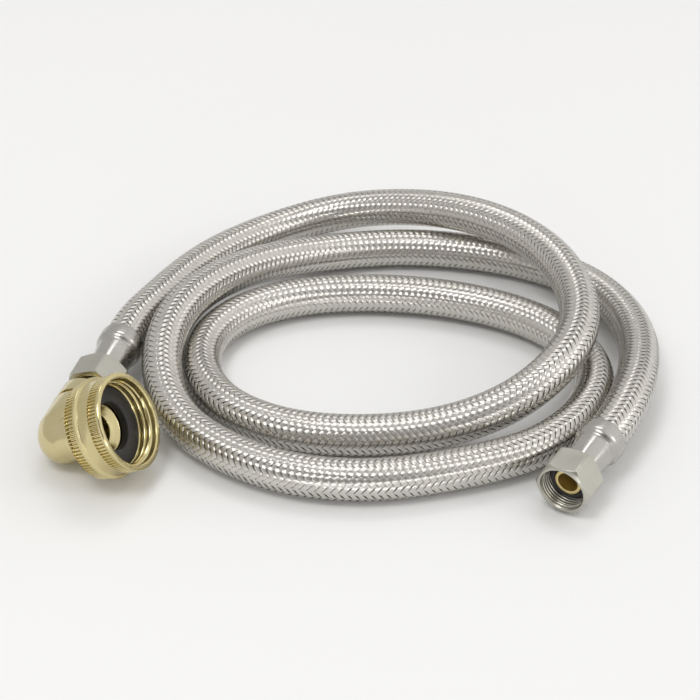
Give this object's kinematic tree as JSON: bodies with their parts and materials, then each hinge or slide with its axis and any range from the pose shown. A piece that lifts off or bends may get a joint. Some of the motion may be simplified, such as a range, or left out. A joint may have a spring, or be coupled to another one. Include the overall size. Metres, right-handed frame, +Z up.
{
  "type": "washing machine hose",
  "caption": "Braided steel supply hose in a loose coil, with a brass elbow and knurled swivel nut on one end and a free hex compression nut on the other.",
  "frame": {"origin": "middle of the coil's footprint, on the floor that the hose lies on", "axes": "+Z up from the floor; +X along the coil's widest extent, from the elbow's side to the free nut's side; +Y away from the two fittings"},
  "size_m": [0.1943, 0.1713, 0.0337],
  "materials": {
    "steel_braid": "woven flat steel wire, bright",
    "bright_steel": "smooth rolled steel, bright",
    "satin_nickel": "satin nickel plate over brass",
    "brass": "machined brass, bright",
    "black_rubber": "moulded black rubber, matt"
  },
  "bodies": {
    "hose": {"braided_sleeve": "steel_braid", "inner_tube": "black_rubber", "elbow_end_ferrule": "bright_steel", "free_end_ferrule": "bright_steel", "elbow_end_stem": "brass", "free_end_stem": "brass", "elbow_end_hex_nut": "satin_nickel", "elbow_end_cone_washer": "black_rubber", "free_end_cone_washer": "black_rubber", "elbow_body": "brass", "swivel_tailpiece": "brass"},
    "tap_nut": {"swivel_nut": "brass", "hose_washer": "black_rubber"},
    "valve_nut": {"free_end_hex_nut": "satin_nickel"}
  },
  "joints": [
    {"name": "swivel_nut_turn", "type": "hinge", "parent": "hose", "child": "tap_nut", "pos_m": [-0.06777, -0.06376, 0.02101], "axis": [0.8465, -0.2523, 0.4688], "continuous": true},
    {"name": "free_nut_turn", "type": "hinge", "parent": "hose", "child": "valve_nut", "pos_m": [0.0592, -0.0821, 0.0093], "axis": [-0.5331, -0.8432, -0.0698], "continuous": true}
  ]
}
